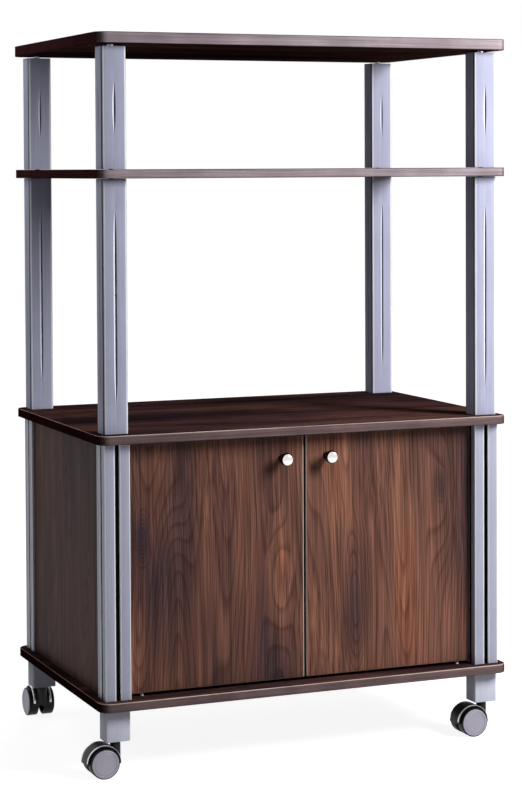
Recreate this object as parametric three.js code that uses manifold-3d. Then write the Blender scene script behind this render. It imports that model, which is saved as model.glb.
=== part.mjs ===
// A microwave cart on four twin-wheel casters: four laminate boards, corner posts and legs on tie rods,
// a cabinet with two doors that swing on pivot pins, and open bays above it.
// Millimetres, +Z up, front towards -Y. The origin is on the floor, at the centre of the footprint.

import * as THREE from 'three';
import { mergeVertices } from 'three/addons/utils/BufferGeometryUtils.js';
import Module from 'manifold-3d';

const wasm = await Module();
wasm.setup();

// Clearances
const SEAT = 0.3;              // between pieces that rest on each other
const FIT = 0.3;               // radial, between a pin or rod and its bore
const THROUGH = 5;             // how far a cutter runs past the face it opens

// Boards
const BOARD_WIDTH = 600;
const BOARD_DEPTH = 390;
const BOARD_THICKNESS = 12;
const TOP_THICKNESS = 15;
const BOARD_CORNER = 16;
const BOARD_EASE = 0.8;        // eased arris round each board

// Clear heights
const CASTER_HEIGHT = 46.5;    // floor to the legs' lower ends
const LEG_LENGTH = 42.5;
const CABINET_HEIGHT = 338;
const BAY_HEIGHT = 334;
const UPPER_BAY_HEIGHT = 163;

// Corner posts, on one centre line at each corner
const POST_INSET_X = 28;       // board edge to the post's centre
const POST_INSET_Y = 29;
const POST_WIDTH = 34;
const POST_DEPTH = 28.5;
const POST_CORNER = 3;
const POST_EASE = 0.7;
const COLLAR_HEIGHT = 2.6;     // gap above the short posts, filled by the tie rod's collar
const COLLAR_RADIUS = 4.5;

// Leaf-shaped flutes in the posts
const FLUTE_WIDTH = 5.6;
const FLUTE_SINK = 1.8;
const SHORT_FLUTE_LENGTH = 74;
const LONG_FLUTE_LENGTH = 244;
const SIDE_FLUTE_WIDTH = 4;

// Grooved aluminium posts of the cabinet
const PROFILE_WIDTH = 36;
const PROFILE_DEPTH = 32.5;
const PROFILE_CORNER = 1.2;
const GROOVE_WIDTH = 5;
const GROOVE_DEPTH = 7;
const PROFILE_WALL = 2;

// Legs
const LEG_WIDTH = 34;
const LEG_DEPTH = 27.5;
const LEG_CORNER = 2;
const LEG_EASE = 0.6;

// Tie rods
const ROD_RADIUS = 3;
const ROD_BITE = 11;           // thread in the leg
const ROD_TOP_BITE = 9;        // thread in the top shelf

// Cabinet panels
const PANEL_THICKNESS = 12;
const PANEL_RECESS = 4;        // behind the posts' outer faces

// Doors
const DOOR_THICKNESS = 12;
const DOOR_RECESS = 12;        // behind the posts' front faces
const DOOR_SIDE_GAP = 2;
const DOOR_MEETING_GAP = 3;
const DOOR_BOTTOM_GAP = 4.4;
const DOOR_TOP_GAP = 3;
const DOOR_EASE = 1;

// Pivot pins
const PIVOT_INSET = 18;        // door's outer edge to the pin
const PIVOT_BEHIND = 5.5;      // door's front face to the pin
const PIN_RADIUS = 2.5;
const PIN_JOURNAL_RADIUS = 1.9;
const PIN_BITE = 8;            // in the board
const PIN_JOURNAL = 9;         // in the door
const PIVOT_FIT = 0.1;         // running fit of the journal

// Knobs
const KNOB_FROM_MEETING = 33;
const KNOB_DROP = 33;          // below the worktop's underside
const KNOB_LENGTH = 22;
const KNOB_RADIUS = 9;
const KNOB_NECK_RADIUS = 3.8;
const KNOB_BASE_RADIUS = 5.5;
const KNOB_BASE_HEIGHT = 1.5;
const KNOB_NECK_START = 3.5;   // where the taper above the base ends
const KNOB_FLAT_RADIUS = 3;    // flat middle of the head's front
const KNOB_HEAD_LENGTH = 12;
const KNOB_EDGE = 3.4;         // roundness of the head's rims
const SCREW_RADIUS = 2;
const SCREW_HEAD_RADIUS = 4;
const SCREW_HEAD_HEIGHT = 2.4;
const SCREW_CROWN_RADIUS = 2.8;
const SCREW_BITE = 9;          // in the knob

// Magnetic catch
const CATCH_WIDTH = 46;
const CATCH_DEPTH = 14;
const CATCH_HEIGHT = 12;
const STRIKE_WIDTH = 18;
const STRIKE_HEIGHT = 14;
const STRIKE_THICKNESS = 1.5;
const STRIKE_FROM_MEETING = 3;
const MAGNET_WIDTH = 16;
const MAGNET_HEIGHT = 6;
const MAGNET_SINK = 0.6;

// Casters
const WHEEL_RADIUS = 20;
const WHEEL_WIDTH = 15;
const WHEEL_GAP = 9;           // between the two wheels
const WHEEL_EDGE = 2.2;
const CAP_RADIUS = 17.6;
const CAP_SINK = 0.5;
const CAP_DISH = 0.9;
const HUB_RADIUS = 6;
const HUB_RECESS = 5;          // hollow of the wheel's inner side
const RIM_WALL = 3.2;
const AXLE_RADIUS = 2.5;
const AXLE_FIT = 0.1;          // running fit of axle and stem
const AXLE_BITE = 11;          // in each wheel
const CASTER_TRAIL = 19.5;     // stem to axle
const HOOD_RADIUS = 23.5;
const HOOD_WALL = 2.3;
const HOOD_WIDTH = 28;
const HOOD_SKIRT = 2;          // hood below the axle's height
const WEB_GAP = 0.4;           // web to wheel
const WEB_FOOT_RADIUS = 7;
const BOSS_RADIUS = 7;
const STEM_RADIUS = 5.5;
const STEM_SHOWN = 6;          // bare stem between leg and hood
const STEM_SOCKET = 24;
const JOURNAL_RADIUS = 2.5;
const JOURNAL_LENGTH = 16;
const FRONT_TURN = Math.PI;    // casters as parked: front pair trails to the left
const REAR_LEFT_TURN = Math.PI / 2;
const REAR_RIGHT_TURN = 0;

// Facets
const ROUND_SIDES = 12;
const KNOB_SIDES = 18;
const WHEEL_SIDES = 20;
const HOOD_SIDES = 24;
const CORNER_STEPS = 1;        // each step of a curved outline makes two edges
const BOARD_CORNER_STEPS = 3;
const FLUTE_STEPS = 2;

// Heights of the boards' undersides
const bottomZ = CASTER_HEIGHT + LEG_LENGTH;
const floorZ = bottomZ + BOARD_THICKNESS;
const worktopZ = floorZ + CABINET_HEIGHT;
const bayZ = worktopZ + BOARD_THICKNESS;
const middleZ = bayZ + BAY_HEIGHT;
const upperBayZ = middleZ + BOARD_THICKNESS;
const topZ = upperBayZ + UPPER_BAY_HEIGHT;

// Places in plan
const postX = BOARD_WIDTH / 2 - POST_INSET_X;
const postY = BOARD_DEPTH / 2 - POST_INSET_Y;
const doorFrontY = -(postY + PROFILE_DEPTH / 2) + DOOR_RECESS;
const doorBackY = doorFrontY + DOOR_THICKNESS;
const doorOuterX = postX - PROFILE_WIDTH / 2 - DOOR_SIDE_GAP;
const pivotX = doorOuterX - PIVOT_INSET;
const pivotY = doorFrontY + PIVOT_BEHIND;
const doorBottomZ = floorZ + DOOR_BOTTOM_GAP;
const doorTopZ = worktopZ - DOOR_TOP_GAP;
const knobZ = worktopZ - KNOB_DROP;
const axleZ = WHEEL_RADIUS;
const bossTopZ = CASTER_HEIGHT - STEM_SHOWN;
const casterReach = CASTER_TRAIL + HOOD_RADIUS;
const frontReach = Math.max(BOARD_DEPTH / 2, SEAT + KNOB_LENGTH - doorFrontY);
const cartY = (frontReach - postY - casterReach) / 2;   // centres the footprint on the origin

const CORNERS = [
  { name: 'front_left', x: -postX, y: -postY, turn: FRONT_TURN },
  { name: 'front_right', x: postX, y: -postY, turn: FRONT_TURN },
  { name: 'rear_left', x: -postX, y: postY, turn: REAR_LEFT_TURN },
  { name: 'rear_right', x: postX, y: postY, turn: REAR_RIGHT_TURN },
];

// Materials

const material = (color, roughness, metalness) =>
  new THREE.MeshStandardMaterial({ color, roughness, metalness, flatShading: true });

const walnut = material(0x4a3530, 0.42, 0);
const silverPlastic = material(0xa9abc0, 0.45, 0.1);
const aluminium = material(0xc4c5d2, 0.35, 0.9);
const polishedMetal = material(0xe6e4e2, 0.18, 1);
const zincSteel = material(0xb4b6ba, 0.35, 1);
const blackNylon = material(0x1c1a1e, 0.55, 0);
const greyPlastic = material(0x9a98a8, 0.4, 0.1);
const whiteNylon = material(0xeeece6, 0.5, 0);

// Solids

function toSolid(geometry) {
  const bare = geometry.clone();
  bare.deleteAttribute('normal');
  bare.deleteAttribute('uv');
  const merged = mergeVertices(bare, 1e-4);
  return new wasm.Manifold(
    new wasm.Mesh({
      numProp: 3,
      vertProperties: new Float32Array(merged.attributes.position.array),
      triVerts: new Uint32Array(merged.index.array),
    }),
  );
}

function toGeometry(solid) {
  const mesh = solid.getMesh();
  const geometry = new THREE.BufferGeometry();
  geometry.setAttribute('position', new THREE.BufferAttribute(mesh.vertProperties, 3));
  geometry.setIndex(new THREE.BufferAttribute(mesh.triVerts, 1));
  const loose = geometry.toNonIndexed();
  loose.computeVertexNormals();
  return loose;
}

function cut(geometry, cutters) {
  return toGeometry(cutters.reduce((solid, cutter) => solid.subtract(toSolid(cutter)), toSolid(geometry)));
}

function join(geometries) {
  return toGeometry(geometries.map(toSolid).reduce((sum, solid) => sum.add(solid)));
}

function roundedRectangle(width, depth, radius) {
  const x = width / 2 - radius;
  const y = depth / 2 - radius;
  const shape = new THREE.Shape();
  shape.absarc(x, y, radius, 0, Math.PI / 2);
  shape.absarc(-x, y, radius, Math.PI / 2, Math.PI);
  shape.absarc(-x, -y, radius, Math.PI, Math.PI * 1.5);
  shape.absarc(x, -y, radius, Math.PI * 1.5, Math.PI * 2);
  shape.closePath();
  return shape;
}

// A prism standing on z = 0, with eased ends.
function prism(shape, height, ease, steps = CORNER_STEPS) {
  const geometry = new THREE.ExtrudeGeometry(shape, {
    depth: height - 2 * ease,
    curveSegments: steps,
    bevelEnabled: ease > 0,
    bevelThickness: ease,
    bevelSize: ease,
    bevelOffset: -ease,
    bevelSegments: 1,
  });
  return geometry.translate(0, 0, ease);
}

// A cylinder standing along +Z from z.
function rod(radius, length, x, y, z, sides = ROUND_SIDES) {
  return new THREE.CylinderGeometry(radius, radius, length, sides)
    .rotateX(Math.PI / 2)
    .translate(x, y, z + length / 2);
}

// A cylinder along +Y from y.
function crossRod(radius, length, x, y, z, sides = ROUND_SIDES) {
  return new THREE.CylinderGeometry(radius, radius, length, sides).translate(x, y + length / 2, z);
}

// A turned piece whose profile runs [radius, height] from axis to axis, upwards.
function turned(profile, sides = ROUND_SIDES) {
  const points = profile.map(([radius, height]) => new THREE.Vector2(radius, height));
  return new THREE.LatheGeometry(points, sides).rotateX(Math.PI / 2);
}

// Boards

function board(thickness, bores) {
  const outline = roundedRectangle(BOARD_WIDTH, BOARD_DEPTH, BOARD_CORNER);
  return cut(prism(outline, thickness, BOARD_EASE, BOARD_CORNER_STEPS), bores);
}

function rodBores(z, length) {
  return CORNERS.map(({ x, y }) => rod(ROD_RADIUS + FIT, length, x, y, z));
}

function pinBores(z) {
  const length = PIN_BITE + SEAT + THROUGH;
  return [-pivotX, pivotX].map((x) => rod(PIN_RADIUS + FIT, length, x, pivotY, z));
}

// A board that the tie rods pass through, with further bores of its own.
function throughBoard(bores) {
  return board(BOARD_THICKNESS, [...rodBores(-THROUGH, BOARD_THICKNESS + 2 * THROUGH), ...bores]);
}

// Posts

function leafShape(length, width) {
  const half = length / 2;
  const bow = width / 2;
  const radius = (half * half + bow * bow) / (2 * bow);
  const sweep = Math.asin(half / radius);
  const leaf = new THREE.Shape();
  leaf.absarc(bow - radius, 0, radius, -sweep, sweep);
  leaf.absarc(radius - bow, 0, radius, Math.PI - sweep, Math.PI + sweep);
  leaf.closePath();
  return leaf;
}

// A leaf-shaped cutter that enters by FLUTE_SINK from the outer face, standing at mid-height.
function flute(length, width, faceDistance, turn, midZ) {
  const leaf = new THREE.ExtrudeGeometry(leafShape(length, width), {
    depth: THROUGH,
    curveSegments: FLUTE_STEPS,
    bevelEnabled: false,
  });
  return leaf
    .rotateX(Math.PI / 2)
    .translate(0, FLUTE_SINK - faceDistance, midZ)
    .rotateZ(turn);
}

function post(height, fluteLength) {
  const block = prism(roundedRectangle(POST_WIDTH, POST_DEPTH, POST_CORNER), height, POST_EASE);
  const bore = rod(ROD_RADIUS + FIT, height + 2 * THROUGH, 0, 0, -THROUGH);
  const flutes = [0, Math.PI].flatMap((turn) => [
    flute(fluteLength, FLUTE_WIDTH, POST_DEPTH / 2, turn, height / 2),
    flute(fluteLength, SIDE_FLUTE_WIDTH, POST_WIDTH / 2, turn + Math.PI / 2, height / 2),
  ]);
  return cut(block, [bore, ...flutes]);
}

// A long hollow in one corner of the profile, between the outer walls and the grooves' walls.
function chamber(height, sideX, sideY) {
  const near = GROOVE_WIDTH / 2 + PROFILE_WALL;
  const width = PROFILE_WIDTH / 2 - PROFILE_WALL - near;
  const depth = PROFILE_DEPTH / 2 - PROFILE_WALL - near;
  return new THREE.BoxGeometry(width, depth, height + 2 * THROUGH)
    .translate(sideX * (near + width / 2), sideY * (near + depth / 2), height / 2);
}

function groove(width, depth, height, faceDistance, turn) {
  return new THREE.BoxGeometry(width, depth + THROUGH, height + 2 * THROUGH)
    .translate(0, -faceDistance + depth - (depth + THROUGH) / 2, height / 2)
    .rotateZ(turn);
}

function cabinetPost(height) {
  const profile = prism(roundedRectangle(PROFILE_WIDTH, PROFILE_DEPTH, PROFILE_CORNER), height, 0);
  const bore = rod(ROD_RADIUS + FIT, height + 2 * THROUGH, 0, 0, -THROUGH);
  const grooves = [0, Math.PI].flatMap((turn) => [
    groove(GROOVE_WIDTH, GROOVE_DEPTH, height, PROFILE_DEPTH / 2, turn),
    groove(GROOVE_WIDTH, GROOVE_DEPTH, height, PROFILE_WIDTH / 2, turn + Math.PI / 2),
  ]);
  const chambers = [-1, 1].flatMap((sideX) => [-1, 1].map((sideY) => chamber(height, sideX, sideY)));
  return cut(profile, [bore, ...grooves, ...chambers]);
}

function leg() {
  const height = LEG_LENGTH - SEAT;
  const block = prism(roundedRectangle(LEG_WIDTH, LEG_DEPTH, LEG_CORNER), height, LEG_EASE);
  const socket = rod(STEM_RADIUS + FIT, STEM_SOCKET + SEAT + THROUGH, 0, 0, -THROUGH);
  const thread = rod(ROD_RADIUS + FIT, ROD_BITE + SEAT + THROUGH, 0, 0, height - ROD_BITE - SEAT);
  return cut(block, [socket, thread]);
}

// A rod from the leg up into the top shelf, with the collar that carries the shelf.
function tieRod() {
  const bottom = bottomZ - ROD_BITE;
  const collarBottom = topZ - COLLAR_HEIGHT - bottom;
  const collarTop = topZ - SEAT - bottom;
  const length = topZ + ROD_TOP_BITE - bottom;
  return turned([
    [0, 0],
    [ROD_RADIUS, 0],
    [ROD_RADIUS, collarBottom],
    [COLLAR_RADIUS, collarBottom],
    [COLLAR_RADIUS, collarTop],
    [ROD_RADIUS, collarTop],
    [ROD_RADIUS, length],
    [0, length],
  ]);
}

// Panels and doors

function sheet(width, depth, height, ease) {
  const outline = new THREE.Shape();
  outline.moveTo(-width / 2, -depth / 2);
  outline.lineTo(width / 2, -depth / 2);
  outline.lineTo(width / 2, depth / 2);
  outline.lineTo(-width / 2, depth / 2);
  outline.closePath();
  return prism(outline, height, ease);
}

function door(side) {
  const meetingX = DOOR_MEETING_GAP / 2;
  const width = doorOuterX - meetingX;
  const height = doorTopZ - doorBottomZ;
  const centreX = side * (meetingX + width / 2);
  const leaf = sheet(width, height, DOOR_THICKNESS, DOOR_EASE)
    .rotateX(Math.PI / 2)
    .translate(centreX, doorBackY, doorBottomZ + height / 2);
  const journalBore = PIN_JOURNAL + SEAT + THROUGH;
  const pinX = side * pivotX;
  const knobX = side * KNOB_FROM_MEETING;
  const journal = PIN_JOURNAL_RADIUS + PIVOT_FIT;
  return cut(leaf, [
    rod(journal, journalBore, pinX, pivotY, doorBottomZ - THROUGH),
    rod(journal, journalBore, pinX, pivotY, doorTopZ - PIN_JOURNAL - SEAT),
    crossRod(SCREW_RADIUS + FIT, DOOR_THICKNESS + 2 * THROUGH, knobX, doorFrontY - THROUGH, knobZ),
  ]);
}

// Stands in the board, shouldered to carry the door, with its journal in the door.
function pivotPin(gap) {
  const shoulder = PIN_BITE + gap - SEAT;
  const end = PIN_BITE + gap + PIN_JOURNAL;
  return turned([
    [0, 0],
    [PIN_RADIUS, 0],
    [PIN_RADIUS, shoulder],
    [PIN_JOURNAL_RADIUS, shoulder],
    [PIN_JOURNAL_RADIUS, end],
    [0, end],
  ]);
}

// Knob with its foot at z = 0, turned to point forwards.
function knob() {
  const under = KNOB_LENGTH - KNOB_HEAD_LENGTH;
  const body = turned([
    [0, 0],
    [KNOB_BASE_RADIUS, 0],
    [KNOB_BASE_RADIUS, KNOB_BASE_HEIGHT],
    [KNOB_NECK_RADIUS, KNOB_NECK_START],
    [KNOB_NECK_RADIUS, under - KNOB_EDGE],
    [KNOB_RADIUS - KNOB_EDGE, under],
    [KNOB_RADIUS, under + KNOB_EDGE],
    [KNOB_RADIUS, KNOB_LENGTH - 2 * KNOB_EDGE],
    [KNOB_RADIUS - KNOB_EDGE, KNOB_LENGTH - KNOB_EDGE / 2],
    [KNOB_FLAT_RADIUS, KNOB_LENGTH],
    [0, KNOB_LENGTH],
  ], KNOB_SIDES);
  const thread = rod(SCREW_RADIUS + FIT, SCREW_BITE + SEAT + THROUGH, 0, 0, -THROUGH);
  return cut(body, [thread]).rotateX(Math.PI / 2);
}

// Screw with its head's bearing face at z = 0, turned to point forwards.
function knobScrew() {
  const length = SEAT + DOOR_THICKNESS + SEAT + SCREW_BITE;
  return turned([
    [0, -SCREW_HEAD_HEIGHT],
    [SCREW_CROWN_RADIUS, -SCREW_HEAD_HEIGHT],
    [SCREW_HEAD_RADIUS, -SCREW_HEAD_HEIGHT / 2],
    [SCREW_HEAD_RADIUS, 0],
    [SCREW_RADIUS, 0],
    [SCREW_RADIUS, length],
    [0, length],
  ]).rotateX(Math.PI / 2);
}

function magneticCatch() {
  const body = new THREE.BoxGeometry(CATCH_WIDTH, CATCH_DEPTH, CATCH_HEIGHT);
  const pockets = [-1, 1].map((side) =>
    new THREE.BoxGeometry(MAGNET_WIDTH, 2 * MAGNET_SINK, MAGNET_HEIGHT)
      .translate(side * (STRIKE_FROM_MEETING + STRIKE_WIDTH / 2), -CATCH_DEPTH / 2, 0));
  return cut(body, pockets);
}

// Casters, with the stem on the axis and the wheels trailing towards +X

function hood() {
  const shell = crossRod(HOOD_RADIUS, HOOD_WIDTH, CASTER_TRAIL, -HOOD_WIDTH / 2, axleZ, HOOD_SIDES);
  const below = new THREE.BoxGeometry(4 * HOOD_RADIUS, 2 * HOOD_WIDTH, 2 * HOOD_RADIUS)
    .translate(CASTER_TRAIL, 0, axleZ - HOOD_SKIRT - HOOD_RADIUS);
  const boss = rod(BOSS_RADIUS, bossTopZ - axleZ, 0, 0, axleZ);
  const foot = crossRod(WEB_FOOT_RADIUS, HOOD_WIDTH, CASTER_TRAIL, -HOOD_WIDTH / 2, axleZ);
  const webHalf = WHEEL_GAP / 2 - WEB_GAP;
  const wheelRooms = [webHalf, -webHalf - HOOD_WIDTH].map((y) =>
    crossRod(HOOD_RADIUS - HOOD_WALL, HOOD_WIDTH, CASTER_TRAIL, y, axleZ, HOOD_SIDES));
  const journalEnd = bossTopZ - JOURNAL_LENGTH - SEAT;
  const journal = rod(JOURNAL_RADIUS + AXLE_FIT, JOURNAL_LENGTH + SEAT + THROUGH, 0, 0, journalEnd);
  const axleBore = crossRod(AXLE_RADIUS + AXLE_FIT, 2 * HOOD_WIDTH, CASTER_TRAIL, -HOOD_WIDTH, axleZ);
  const upper = cut(shell, [below]);
  return cut(join([upper, boss, foot]), [...wheelRooms, journal, axleBore]);
}

function stem() {
  return turned([
    [0, bossTopZ - JOURNAL_LENGTH],
    [JOURNAL_RADIUS, bossTopZ - JOURNAL_LENGTH],
    [JOURNAL_RADIUS, bossTopZ + SEAT],
    [STEM_RADIUS, bossTopZ + SEAT],
    [STEM_RADIUS, CASTER_HEIGHT + STEM_SOCKET],
    [0, CASTER_HEIGHT + STEM_SOCKET],
  ]);
}

function axle() {
  const length = WHEEL_GAP + 2 * AXLE_BITE;
  return crossRod(AXLE_RADIUS, length, CASTER_TRAIL, -length / 2, axleZ);
}

// Wheel on the +Y side; its inner face is hollow and its outer face carries the dished cap.
function wheel(side) {
  const inner = WHEEL_GAP / 2;
  const outer = inner + WHEEL_WIDTH;
  const bore = AXLE_RADIUS + AXLE_FIT;
  const boreEnd = inner + AXLE_BITE + SEAT;
  const body = turned([
    [0, boreEnd],
    [bore, boreEnd],
    [bore, inner],
    [HUB_RADIUS, inner],
    [HUB_RADIUS, inner + HUB_RECESS],
    [WHEEL_RADIUS - RIM_WALL, inner + HUB_RECESS],
    [WHEEL_RADIUS - RIM_WALL, inner],
    [WHEEL_RADIUS - WHEEL_EDGE / 2, inner],
    [WHEEL_RADIUS, inner + WHEEL_EDGE],
    [WHEEL_RADIUS, outer - WHEEL_EDGE],
    [CAP_RADIUS, outer - CAP_SINK],
    [CAP_RADIUS - CAP_SINK, outer],
    [0, outer - CAP_DISH],
  ], WHEEL_SIDES);
  return body.rotateX(side > 0 ? -Math.PI / 2 : Math.PI / 2).translate(CASTER_TRAIL, 0, axleZ);
}

// Assembly

const cart = new THREE.Group();
cart.position.set(0, cartY, 0);

function place(name, geometry, finish, x, y, z, parent = cart) {
  const piece = new THREE.Mesh(geometry, finish);
  piece.name = name;
  piece.position.set(x, y, z);
  parent.add(piece);
}

const lowerPinBores = pinBores(BOARD_THICKNESS - PIN_BITE - SEAT);
const topShelfBores = rodBores(-THROUGH, THROUGH + ROD_TOP_BITE + SEAT);
place('bottom_board', throughBoard(lowerPinBores), walnut, 0, 0, bottomZ);
place('worktop', throughBoard(pinBores(-THROUGH)), walnut, 0, 0, worktopZ);
place('middle_shelf', throughBoard([]), walnut, 0, 0, middleZ);
place('top_shelf', board(TOP_THICKNESS, topShelfBores), walnut, 0, 0, topZ);

for (const { name, x, y, turn } of CORNERS) {
  const shortPost = post(UPPER_BAY_HEIGHT - COLLAR_HEIGHT - 2 * SEAT, SHORT_FLUTE_LENGTH);
  const longPost = post(BAY_HEIGHT - 2 * SEAT, LONG_FLUTE_LENGTH);
  place(`short_post_${name}`, shortPost, silverPlastic, x, y, upperBayZ + SEAT);
  place(`long_post_${name}`, longPost, silverPlastic, x, y, bayZ + SEAT);
  place(`cabinet_post_${name}`, cabinetPost(CABINET_HEIGHT - 2 * SEAT), aluminium, x, y, floorZ + SEAT);
  place(`leg_${name}`, leg(), silverPlastic, x, y, CASTER_HEIGHT);
  place(`tie_rod_${name}`, tieRod(), zincSteel, x, y, bottomZ - ROD_BITE);

  const caster = new THREE.Group();
  caster.position.set(x, y, 0);
  caster.rotation.z = turn;
  cart.add(caster);
  place(`caster_stem_${name}`, stem(), polishedMetal, 0, 0, 0, caster);
  place(`caster_hood_${name}`, hood(), blackNylon, 0, 0, 0, caster);
  place(`caster_axle_${name}`, axle(), zincSteel, 0, 0, 0, caster);
  place(`wheel_a_${name}`, wheel(-1), greyPlastic, 0, 0, 0, caster);
  place(`wheel_b_${name}`, wheel(1), greyPlastic, 0, 0, 0, caster);
}

const panelHeight = CABINET_HEIGHT - 2 * SEAT;
const sideLength = 2 * (postY - PROFILE_DEPTH / 2 - SEAT);
const backLength = 2 * (postX - PROFILE_WIDTH / 2 - SEAT);
const sideX = postX + PROFILE_WIDTH / 2 - PANEL_RECESS - PANEL_THICKNESS / 2;
const backY = postY + PROFILE_DEPTH / 2 - PANEL_RECESS - PANEL_THICKNESS / 2;
const sidePanel = sheet(PANEL_THICKNESS, sideLength, panelHeight, 0);
const backPanel = sheet(backLength, PANEL_THICKNESS, panelHeight, 0);
place('side_panel_left', sidePanel, walnut, -sideX, 0, floorZ + SEAT);
place('side_panel_right', sidePanel, walnut, sideX, 0, floorZ + SEAT);
place('back_panel', backPanel, walnut, 0, backY, floorZ + SEAT);

for (const [hand, side] of [['left', -1], ['right', 1]]) {
  const pinX = side * pivotX;
  const knobX = side * KNOB_FROM_MEETING;
  const strikeX = side * (STRIKE_FROM_MEETING + STRIKE_WIDTH / 2);
  const strikeZ = worktopZ - SEAT - CATCH_HEIGHT / 2;
  place(`door_${hand}`, door(side), walnut, 0, 0, 0);
  place(`pivot_pin_lower_${hand}`, pivotPin(DOOR_BOTTOM_GAP), whiteNylon, pinX, pivotY, floorZ - PIN_BITE);
  const upperPin = pivotPin(DOOR_TOP_GAP).rotateX(Math.PI);
  place(`pivot_pin_upper_${hand}`, upperPin, whiteNylon, pinX, pivotY, worktopZ + PIN_BITE);
  place(`knob_${hand}`, knob(), polishedMetal, knobX, doorFrontY - SEAT, knobZ);
  place(`knob_screw_${hand}`, knobScrew(), zincSteel, knobX, doorBackY + SEAT, knobZ);
  const strike = new THREE.BoxGeometry(STRIKE_WIDTH, STRIKE_THICKNESS, STRIKE_HEIGHT);
  const strikeY = doorBackY + SEAT + STRIKE_THICKNESS / 2;
  const strikeDrop = DOOR_TOP_GAP + STRIKE_HEIGHT / 2 - CATCH_HEIGHT / 2;
  place(`strike_plate_${hand}`, strike, zincSteel, strikeX, strikeY, strikeZ - strikeDrop);
}

const catchY = doorBackY + 2 * SEAT + STRIKE_THICKNESS + CATCH_DEPTH / 2;
place('magnetic_catch', magneticCatch(), whiteNylon, 0, catchY, worktopZ - SEAT - CATCH_HEIGHT / 2);

export default cart;
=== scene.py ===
"""Microwave cart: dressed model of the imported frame, laid out as an add-on and run as a script."""

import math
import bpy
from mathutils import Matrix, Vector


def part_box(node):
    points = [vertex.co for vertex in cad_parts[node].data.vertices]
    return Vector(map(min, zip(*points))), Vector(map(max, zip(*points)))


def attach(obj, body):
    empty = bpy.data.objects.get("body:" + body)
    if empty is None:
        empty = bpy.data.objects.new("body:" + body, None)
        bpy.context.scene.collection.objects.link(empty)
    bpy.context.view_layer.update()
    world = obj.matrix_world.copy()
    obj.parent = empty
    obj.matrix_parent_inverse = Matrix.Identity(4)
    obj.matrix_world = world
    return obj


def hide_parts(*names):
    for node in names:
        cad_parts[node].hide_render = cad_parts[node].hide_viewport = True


bl_info = {
    "name": "Microwave Cart",
    "version": (1, 0, 0),
    "blender": (4, 5, 0),
    "location": "View3D > Sidebar > Cart",
    "description": "Dresses a microwave cart with laminate, silver posts, fittings and casters",
    "category": "Object",
}

import bmesh
import bpy
from mathutils import Matrix, Vector

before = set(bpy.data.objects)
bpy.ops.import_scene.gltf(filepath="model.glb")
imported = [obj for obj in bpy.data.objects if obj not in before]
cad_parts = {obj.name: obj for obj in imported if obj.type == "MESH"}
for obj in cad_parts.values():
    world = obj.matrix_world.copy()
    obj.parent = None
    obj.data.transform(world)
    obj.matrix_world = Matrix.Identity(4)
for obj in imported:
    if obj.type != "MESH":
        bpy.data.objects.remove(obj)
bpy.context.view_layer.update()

MM = 0.001
CORNERS = ("front_left", "front_right", "rear_left", "rear_right")
HANDS = ("left", "right")
CART = "cart_body"
UP = Vector((0, 0, 1))
FORWARD = Vector((0, -1, 0))

# Edges steeper than these are shaded sharp
SHARP_EDGE = math.radians(26)
TURNED_EDGE = math.radians(40)
MOULDED_EDGE = math.radians(35)
CAP_EDGE = math.radians(30)
FLUTE_EDGE = math.radians(0.5)

WELD = 1e-6                        # points closer than this become one
NEAR = 0.1 * MM                    # points closer than this to a face lie on it

FIGURE_LINES = 42.0                # growth-ring lines over the whole range of the slow noise
NOISE_SPAN = {"From Min": 0.3, "From Max": 0.7}    # most of a noise's values lie in here

# The print's ground, its height, whose contour lines are growth rings, its bands, streaks and pores, as
# features per metre across the grain and along it, detail, roughness and offset
PRINT_NOISES = (
    (13, 2.4, 2, 0.5, (0, 0, 0)), (10, 0.9, 1, 0.35, (5, 2, 8)), (95, 1.3, 2, 0.6, (7, 3, 1)),
    (330, 1.5, 1, 0.8, (3, 1, 0)), (720, 4, 1, 0.8, (0, 5, 2)))

# Flames and knots of the doors' print, and in the last row a broad patch of painted light, in millimetres:
# place across, place along, half width, half length, then the shade, pale or dark, and the number of rings
DOOR_FIGURE = (
    (-40, 240, 30, 130, 0.24, 3), (148, 260, 28, 260, 0.24, 2), (-178, 370, 40, 120, -0.08, 2),
    (-246, 180, 24, 120, 0.16, 2), (72, 200, 32, 150, -0.2, 5), (215, 335, 38, 150, -0.06, 3),
    # The last, broad pale mound, with no rings, lightens the left door's middle: painted light, not figure
    # of the print
    (-238, 312, 22, 46, -0.12, 6), (208, 355, 14, 28, -0.08, 5), (-95, 240, 120, 300, 0.06, 0))

# Colours of a print, from dark to flame
# The boards' and panels' print is the walnut drawn darker than the doors': painted shade, for the shade the
# worktop and the side panels lie in
BOARD_PRINT = ("board_dark", "board_mid", "board_light", "board_mid")
DOOR_PRINT = ("walnut_dark", "walnut_mid", "walnut_light", "walnut_flame")

# A piece's materials, by their place in its list, and the strips across a fluted post's sides
FACE, BAND, ARRIS, DARK_ARRIS = range(4)
FILM, PAINTED_HIGHLIGHT, PAINTED_SHADE = range(3)
METAL, GROOVE_PAINTED_SHADE, LIP_PAINTED_HIGHLIGHT = range(3)
# The pale strips are a painted highlight, on the front flutes' left walls and on the corners; the dark
# strips are painted shade, on the front flutes' right walls and on the corners
FRONT_STRIPS = (FILM, *[PAINTED_HIGHLIGHT] * 3, *[PAINTED_SHADE] * 2, *[FILM] * 2, *[PAINTED_HIGHLIGHT] * 2, *[PAINTED_SHADE] * 2)
SIDE_STRIPS = (*[FILM] * 8, *[PAINTED_SHADE] * 2, *[PAINTED_HIGHLIGHT] * 2)

FLUTE_TAPER = 38 * MM              # the longer a flute is against this, the blunter its ends
FLUTE_TIP = 0.05 * MM              # half width left at a flute's ends, so that no edge has zero length
THIN_END = 9.3                     # mm of a pivot pin or tie rod past its shoulder or collar

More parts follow.
